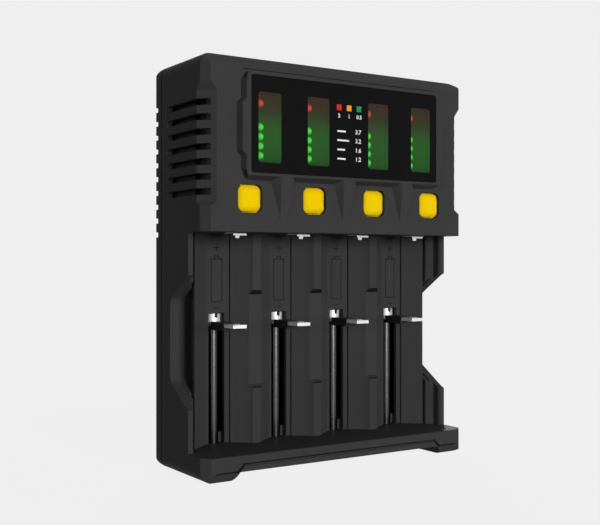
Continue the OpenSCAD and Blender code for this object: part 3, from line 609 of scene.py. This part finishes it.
# Steps over the edge of a cap, in mm: how far in, the corner radius, and how far behind the face
EDGE_STEPS = (
    (0, 2.2, 1.2), (0.12, 2.12, 1.04), (1.4, 1.4, 0.12), (1.6, 1.3, 0.05),
    (1.8, 1.1, 0.03), (3, 0.6, 0.01), (4.3, 0.3, 0))
for i in range(1, BAYS + 1):
    low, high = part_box(f"button_{i}")
    middle = ((low.x + high.x) / 2, (low.z + high.z) / 2)
    flange_half = (high.x - low.x) / 2
    flange_y = low.y + flange_back
    rings = [
        (stem_half, stem_corner, high.y), (stem_half, stem_corner, flange_y + flange_thick),
        (flange_half, cap_corner, flange_y + flange_thick), (flange_half, cap_corner, flange_y),
        (cap_half, cap_corner, flange_y)]
    for inset, radius, behind in EDGE_STEPS:
        rings.append((cap_half - inset * MM, radius * MM, low.y + behind * MM))
    cap = ring_solid(f"button_cap_{i}", middle, rings)
    cap.data.materials.append(button_plastic)
    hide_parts(f"button_{i}")
    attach(cap, f"button_body_{i}")
print("button caps", round(2 * cap_half / MM, 1), "mm across")

# %% [markdown]
# ## Moulded symbols in the troughs
# Each trough floor shows which way round a cell goes in: a plus sign, the outline of a cell, and a minus
# sign, as thin lines. The lines are dark: painted shade for the shadow in moulded grooves. They are made
# once, as flat strips. They repeat in every bay, so Geometry Nodes place the set on four points: that way a
# change of the set or of the bays' pitch follows everywhere.

# %% Strips along strokes
def slab_mesh(name, slabs):
    """Closed mesh of slabs. Each is given by eight corners: four in front, then the four behind them."""
    verts, faces = [], []
    for corners in slabs:
        first = len(verts)
        verts += corners
        faces += [tuple(range(first, first + 4)), tuple(range(first + 4, first + 8))]
        for k in range(4):
            a, b = first + k, first + (k + 1) % 4
            faces.append((a, a + 4, b + 4, b))
    return closed_mesh(name, verts, faces)


def line_set(name, strokes, wide, thick):
    """Flat strips along strokes ((x0, z0), (x1, z1)) in mm, with square ends, thick to either side in Y."""
    slabs = []
    for (x0, z0), (x1, z1) in strokes:
        start, end = Vector((x0, 0, z0)) * MM, Vector((x1, 0, z1)) * MM
        reach = (end - start).normalized() * wide * MM / 2
        across = Vector((reach.z, 0, -reach.x))
        start, end = start - reach, end + reach
        outline = (start - across, end - across, end + across, start + across)
        slabs.append([corner + Vector((0, y * thick * MM, 0)) for y in (-1, 1) for corner in outline])
    return slab_mesh(name, slabs)


def polyline(points):
    """Strokes that join points one after the other."""
    return list(zip(points, points[1:]))


cell_half, cell_low, cell_high = 2.35, 64.8, 81.4
nub_half, nub_high = 0.9, 82.5
plus_half, plus_z = 1.3, 85.8
minus_half, minus_z = 1.2, 62.3
cell = [(-cell_half, cell_low), (cell_half, cell_low), (cell_half, cell_high), (-cell_half, cell_high)]
nub = [(-nub_half, cell_high), (-nub_half, nub_high), (nub_half, nub_high), (nub_half, cell_high)]
signs = [
    ((-plus_half, plus_z), (plus_half, plus_z)), ((0, plus_z - plus_half), (0, plus_z + plus_half)),
    ((-minus_half, minus_z), (minus_half, minus_z))]
cell_lines = polyline(cell + cell[:1]) + polyline(nub) + signs
symbol_mesh = line_set("symbol_lines", cell_lines, 0.36, 0.03)
print("symbol:", len(cell_lines), "strokes")

# %% A node tree that repeats a piece in a row
def repeat_tree(name):
    """Count copies of a mesh, Pitch apart, from Start, then realised and given a material."""
    tree = bpy.data.node_groups.new(name, "GeometryNodeTree")
    inputs = {
        "Geometry": "Geometry", "Count": "Int", "Start": "Vector", "Pitch": "Vector", "Material": "Material"}
    for label, kind in inputs.items():
        tree.interface.new_socket(label, in_out="INPUT", socket_type="NodeSocket" + kind)
    tree.interface.new_socket("Geometry", in_out="OUTPUT", socket_type="NodeSocketGeometry")
    kinds = (
        "NodeGroupInput", "GeometryNodeMeshLine", "GeometryNodeInstanceOnPoints",
        "GeometryNodeRealizeInstances", "GeometryNodeSetMaterial", "NodeGroupOutput")
    given, row, copies, real, paint, result = (tree.nodes.new(kind) for kind in kinds)
    links = (
        (given, "Count", row, "Count"), (given, "Start", row, "Start Location"),
        (given, "Pitch", row, "Offset"), (row, "Mesh", copies, "Points"),
        (given, "Geometry", copies, "Instance"), (copies, "Instances", real, "Geometry"),
        (real, "Geometry", paint, "Geometry"), (given, "Material", paint, "Material"),
        (paint, "Geometry", result, "Geometry"))
    for source, output, target, slot in links:
        tree.links.new(source.outputs[output], target.inputs[slot])
    return tree


in_a_row = repeat_tree("repeat_in_a_row")
print("node tree:", len(in_a_row.nodes), "nodes")

# %% Run the tree on a mesh
def repeated(name, mesh, count, start, pitch, material):
    """Runs the tree on a mesh and returns the result as a plain mesh object."""
    values = {"Count": count, "Start": start, "Pitch": pitch, "Material": material}
    carrier = add_object(name + "_source", mesh)
    live = carrier.modifiers.new("repeat", "NODES")
    live.node_group = in_a_row
    for item in in_a_row.interface.items_tree:
        if item.in_out == "INPUT" and item.name in values:
            live[item.identifier] = values[item.name]
    settled = carrier.evaluated_get(bpy.context.evaluated_depsgraph_get())
    plain = bpy.data.meshes.new_from_object(settled)
    plain.name = name
    carrier.modifiers.remove(live)
    bpy.data.objects.remove(carrier)
    return add_object(name, plain)


def depth(d):
    """Y of a point that lies d mm behind the front of the case."""
    return cad_box[0][1] + d * MM


first_bay = sum(c.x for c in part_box("guide_rod_1")) / 2
second_bay = sum(c.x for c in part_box("guide_rod_2")) / 2
bay_pitch = second_bay - first_bay
trough_floor = depth(29.3)
first_place, next_bay = (first_bay, trough_floor, 0.0), (bay_pitch, 0.0, 0.0)
# The symbol strips carry painted shade, for the shadow in the moulded grooves.
symbols = repeated("bay_symbols", symbol_mesh, BAYS, first_place, next_bay, line_shade)
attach(symbols, "case")
print("symbols in four bays:", len(symbols.data.polygons), "faces")

# %% [markdown]
# ## Sloping flanks of the surround
# The display surround of the real case leans outwards at its sides, so that it leaves the mould easily,
# and its flanks catch the front light. A flank is a thin wedge along the stepped edge: its front edge
# follows the edge of the rim, and its foot lies a millimetre further out. A wedge laid on the case keeps
# the CAD part as it is.

# %% Two flanks
RIM_INNER, RIM_OUTER = 45.5, 47.2
FLANK_LEAN, END_LEAN, FLANK_SUNK = 1.0, 0.15, 0.3
flank_front, flank_back = depth(0.04), depth(3.03)


def flank(side, edge):
    """Wedge along an edge given as (x, z) in mm, bottom up. Its foot leans out, less at both ends."""
    verts, faces = [], []
    for k, (x, z) in enumerate(edge):
        out = FLANK_LEAN * (1 if 0 < k < len(edge) - 1 else END_LEAN)
        verts.append((side * x * MM, flank_front, z * MM))
        verts.append((side * (x + out) * MM, flank_back, z * MM))
        verts.append((side * (x - FLANK_SUNK) * MM, flank_back, z * MM))
    last = 3 * (len(edge) - 1)
    for k in range(0, last, 3):
        faces += [(k + a, k + b, k + 3 + b, k + 3 + a) for a, b in ((0, 1), (1, 2), (2, 0))]
    faces += [(0, 1, 2), (last, last + 2, last + 1)]
    mesh = closed_mesh("surround_flank", verts, faces)
    mesh.materials.append(case_plastic)
    piece = add_object("flank_left" if side < 0 else "flank_right", mesh)
    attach(piece, "case")


rim_edge = [
    (RIM_INNER, 113.4), (RIM_INNER, 114.4), (RIM_INNER, 118.9), (RIM_OUTER, 120.6),
    (RIM_OUTER, 138.3), (RIM_INNER, 140.0), (RIM_INNER, 146.8), (RIM_INNER, 147.8)]
for side in (-1, 1):
    flank(side, rim_edge)
print("flanks along", len(rim_edge), "points")

# %% [markdown]
# ## Painted shade behind the side slots
# In the photograph the head is black behind its side slots. That dark is painted shade: a plain dark sheet a
# few millimetres inside, half a millimetre thick, that covers the height of the slots, with its rear end
# folded outwards. A slab for each leg is enough, since only its dark face shows.

# %% Two dark sheets
SHEET_THICK = 0.5
sheet_x, fold_x = 54.5, 58.5
sheet_front, sheet_back = -16.0, 20.0
sheet_low, sheet_high = 100.0, 150.0


def upright_slab(side, near, far):
    """Eight corners of a slab between (x, y) corners near and far, in mm, on the side given as -1 or 1."""
    outline = [(near[0], sheet_low), (far[0], sheet_low), (far[0], sheet_high), (near[0], sheet_high)]
    return [Vector((side * x, y, z)) * MM for y in (near[1], far[1]) for x, z in outline]


legs = []
for side in (-1, 1):
    legs.append(upright_slab(side, (sheet_x, sheet_front), (sheet_x + SHEET_THICK, sheet_back - SHEET_THICK)))
    legs.append(upright_slab(side, (sheet_x, sheet_back - SHEET_THICK), (fold_x, sheet_back)))
# Painted shade: dark sheets that keep the view through the side slots black.
vent_shade_mesh = slab_mesh("vent_shade_sheets", legs)
vent_shade_mesh.materials.append(dark_plastic)
vent_shade = add_object("vent_shade_sheets", vent_shade_mesh)
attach(vent_shade, "case")
print("liners:", len(vent_shade_mesh.polygons), "faces")

# %% [markdown]
# ## Shadow lines of the ridges and the base
# Where the crest of a ridge steps back, the mould leaves a fine undercut that shows as a dark line. The
# base has such a line all along its front, with a bend down to each foot. The lines are dark strips, half
# sunk in the surface and at most 0.2 mm thick: one pair for a ridge, repeated on the three ridges, and one
# run along the base.

# %% Lines on the ridges
ridge_low, ridge_high = 31.7, 69.1
crest_half, root_half, ridge_step = 1.9, 3.0, 1.4
crest_y = depth(22.3)


def slope_slab(low, high, thick):
    """Eight corners of a strip across a ridge, from low to high as (half width in mm, y in m, z in mm)."""
    rise = Vector((0, high[1] - low[1], (high[2] - low[2]) * MM)).normalized()
    off = Vector((0, -rise.z, rise.y)) * thick * MM
    outline = ((low, off), (high, off), (high, -off), (low, -off))
    corners = []
    for side in (-1, 1):
        corners += [Vector((side * half * MM, y, z * MM)) + lift for (half, y, z), lift in outline]
    return corners


low_mark = slope_slab((crest_half, crest_y, ridge_low - 0.7), (crest_half, crest_y, ridge_low), 0.05)
high_mark = slope_slab(
    (root_half, crest_y + ridge_step * MM, ridge_high - 1.1 * ridge_step),
    (crest_half, crest_y, ridge_high + 0.1), 0.08)
pair_mesh = slab_mesh("ridge_pair", [low_mark, high_mark])
first_ridge = ((first_bay + second_bay) / 2, 0.0, 0.0)
marks_on_ridges = repeated("ridge_lines", pair_mesh, BAYS - 1, first_ridge, next_bay, deep_shade)
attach(marks_on_ridges, "case")

# %% Line along the base
base_end, bend_x, level_x = 56.5, 47.9, 45.3
foot_z, line_z = 3.8, 6.4
base_points = [
    (-base_end, foot_z), (-bend_x, foot_z), (-level_x, line_z),
    (level_x, line_z), (bend_x, foot_z), (base_end, foot_z)]
base_line = line_set("base_line", polyline(base_points), 0.6, 0.1)
base_line.transform(Matrix.Translation((0, depth(2.78), 0)))
base_line.materials.append(deep_shade)
base_piece = add_object("base_line", base_line)
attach(base_piece, "case")
print("shadow lines:", len(marks_on_ridges.data.polygons) + len(base_line.polygons), "faces")

# %% [markdown]
# ## Printing on the panel
# Between the inner windows the panel has three colour squares with a number under each, and four rows of a
# short bar and a number. Print is a very thin layer, so letters are turned into meshes a few hundredths of
# a millimetre thick and laid on the panel. The squares are a CAD part, and only get an ink for each of
# them.

# %% A printed number
NUMERAL_SHARE = 0.7
PRINT_LIFT = 0.005
panel_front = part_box("display_panel")[0].y


def printed_number(name, text, x, z, height):
    """Mesh of a number printed on the panel, centred on x and z, in millimetres."""
    letters = bpy.data.curves.new(name, "FONT")
    letters.body = text
    letters.size = height * MM / NUMERAL_SHARE
    letters.align_x = "CENTER"
    letters.align_y = "CENTER"
    letters.extrude = 0.01 * MM
    letters.offset = 0.05 * MM
    letters.resolution_u = 3
    temporary = add_object(name + "_curve", letters)
    settled = temporary.evaluated_get(bpy.context.evaluated_depsgraph_get())
    mesh = bpy.data.meshes.new_from_object(settled)
    bpy.data.objects.remove(temporary)
    mesh.transform(Matrix.Rotation(math.radians(90), 4, "X"))
    mesh.transform(Matrix.Translation((x * MM, panel_front - PRINT_LIFT * MM, z * MM)))
    return mesh


# %% Numbers and bars
label_z, label_high = 136.5, 1.45
value_x, value_high = 4.35, 1.6
bar_start, bar_wide, bar_thick = -5.2, 0.65, 0.02
# Height of each row, its number, and where its bar ends, in mm
rows = ((130.6, "3.7", -1.9), (127.1, "3.2", -0.3), (123.5, "1.6", -2.3), (120.0, "1.2", -2.0))
numbers, bars = [], []
for k, (text, x) in enumerate((("2", -4.7), ("1", 0.0), ("0.5", 4.8))):
    numbers.append(printed_number(f"label_{k}", text, x, label_z, label_high))
for k, (z, text, bar_end) in enumerate(rows):
    numbers.append(printed_number(f"value_{k}", text, value_x, z, value_high))
    bars.append(line_set(f"bar_{k}", [((bar_start, z), (bar_end, z))], bar_wide, bar_thick))
for bar in bars:
    bar.transform(Matrix.Translation((0, panel_front, 0)))

printing = bmesh.new()
for mesh in numbers + bars:
    printing.from_mesh(mesh)
print_mesh = as_mesh(printing, "legend_print")
print_mesh.materials.clear()
print_mesh.materials.append(white_ink)
legend_print = add_object("legend_print", print_mesh)
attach(legend_print, "case")
print("legend:", len(numbers), "numbers and", len(bars), "bars,", len(print_mesh.polygons), "faces")

# %% Colour squares
marks = joined_copy("legend_marks", red_ink, part="legend_squares")
marks.data.materials.append(orange_ink)
marks.data.materials.append(green_ink)
square_gap = 2 * MM
for face in marks.data.polygons:
    face.material_index = (face.center.x > -square_gap) + (face.center.x > square_gap)
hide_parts("legend_marks")
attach(marks, "case")
print("colour squares:", len(marks.data.materials), "inks")

# %% [markdown]
# ## Lights behind the windows
# Behind each window one red and four green lights stand on the board. A real lens is brightest in its
# middle and fades towards its rim. So each lens is a small dome that carries its own attribute, glow, from
# 1 in the middle to 0 at the rim, and the emission colour follows it. A column of four green domes is made
# first and is then repeated for the outer and the inner windows.

# %% A dome that carries its glow
DOME_RINGS, DOME_STEPS = 7, 20
GLOW_POWER = 1.2


def glowing_dome(name, radius):
    """Closed dome that bulges towards -Y, with a glow attribute that fades towards its rim."""
    verts, glows = [(0, -radius, 0)], [1.0]
    for ring in range(1, DOME_RINGS + 1):
        a = math.radians(90 * ring / DOME_RINGS)
        for k in range(DOME_STEPS):
            b = 2 * math.pi * k / DOME_STEPS
            out = radius * math.sin(a)
            verts.append((out * math.cos(b), -radius * math.cos(a), out * math.sin(b)))
            glows.append((1 - math.sin(a) ** 2) ** GLOW_POWER)
    faces = [(0, 1 + k, 1 + (k + 1) % DOME_STEPS) for k in range(DOME_STEPS)]
    for first in range(1, len(verts) - DOME_STEPS, DOME_STEPS):
        for k in range(DOME_STEPS):
            a, b = first + k, first + (k + 1) % DOME_STEPS
            faces.append((a, a + DOME_STEPS, b + DOME_STEPS, b))
    faces.append(tuple(range(len(verts) - DOME_STEPS, len(verts))))
    mesh = closed_mesh(name, verts, faces, smooth_sides=4)
    mesh.attributes.new("glow", "FLOAT", "POINT").data.foreach_set("value", glows)
    return mesh


lens_radius = 1.6 * MM
dome = glowing_dome("light_dome", lens_radius)
print("dome:", len(dome.polygons), "faces")

# %% A lens that is lit
def lit_lens(name, colour, strength):
    """Clear lens that shines by its glow attribute."""
    made = Finish(name)
    source = {"attribute_type": "GEOMETRY", "attribute_name": "glow"}
    glow = made.node("ShaderNodeAttribute", source, out="Fac")
    return made.surface(**{
        "Base Color": made.blend(glow, shade(0.01), shade(1, colour)),
        "Roughness": 0.2 + made.noise(0.0012) * 0.1,
        "Emission Color": made.varied(glow, colour, 0.0),
        "Emission Strength": strength})


red_lens = lit_lens("red_light", (1.0, 0.045, 0.03), 8.5)
green_lens = lit_lens("green_light", (0.05, 1.0, 0.05), 9.5)
print("lenses made")

# %% Sixteen green lights and four red ones
GREEN_IN_COLUMN = 4
# The lenses stand a little above the CAD part's lights and left of them, as in the photograph
lens_lift, lens_shift = 0.3 * MM, -0.65 * MM
inner_x = bay_pitch / 2
green_low, green_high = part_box("green_lights")
red_low, red_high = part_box("red_lights")
light_r = (red_high.z - red_low.z) / 2
lens_y = green_low.y + light_r
outer_x = green_high.x - light_r
pitch_z = (green_high.z - green_low.z - 2 * light_r) / (GREEN_IN_COLUMN - 1)
lowest = (0.0, lens_y, green_low.z + light_r + lens_lift)
highest = (0.0, lens_y, (red_low.z + red_high.z) / 2 + lens_lift)
print("lights", round(pitch_z / MM, 2), "mm apart")

column = repeated("green_column", dome, GREEN_IN_COLUMN, lowest, (0.0, 0.0, pitch_z), green_lens)
single = repeated("red_single", dome, 1, highest, (0.0, 0.0, 0.0), red_lens)
for colour, source, finish in (("green", column, green_lens), ("red", single, red_lens)):
    for place, x in (("outer", outer_x), ("inner", inner_x)):
        start, pitch = (lens_shift - x, 0.0, 0.0), (2 * x, 0.0, 0.0)
        lights = repeated(f"{colour}_lights_{place}", source.data.copy(), 2, start, pitch, finish)
        if place == "outer":
            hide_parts(f"{colour}_lights")
        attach(lights, "case")
    bpy.data.objects.remove(source)

# %% [markdown]
# ## Finishes for the remaining parts
# The parts whose shape is right keep their CAD mesh and only get a finish. The panel, the windows and the
# sliders show at the front. The rest stands inside the case and shows through its slots, if at all, so
# plain finishes are enough there.

# %% Assign finishes
finishes = {
    "display_panel": panel_plastic, "switch_cases": switch_metal, "rod_clips": brass,
    "display_board": board_green, "main_board": board_green, "board_link": dark_plastic,
    "power_coils": coil_copper, "capacitors": capacitor_blue, "heat_sink": aluminium,
    "power_inlet": dark_plastic, "case_screws": screw_steel, "board_screws": screw_steel}
for i in range(1, BAYS + 1):
    finishes[f"window_{i}"] = window_glass
    finishes[f"switch_plunger_{i}"] = dark_plastic
    finishes[f"slider_{i}"] = dark_plastic
    finishes[f"slider_spring_{i}"] = spring_steel
for name, material in finishes.items():
    nodes[name].data.materials.clear()
    nodes[name].data.materials.append(material)
print("finishes given to", len(finishes), "parts")

# %% [markdown]
# ## Bring the scene up to date
# Finishes must not change what the CAD model measures. Its box was measured at the start, as cad_box, and at
# the end the view layer is brought up to date.

# %% Update the view layer
bpy.context.view_layer.update()
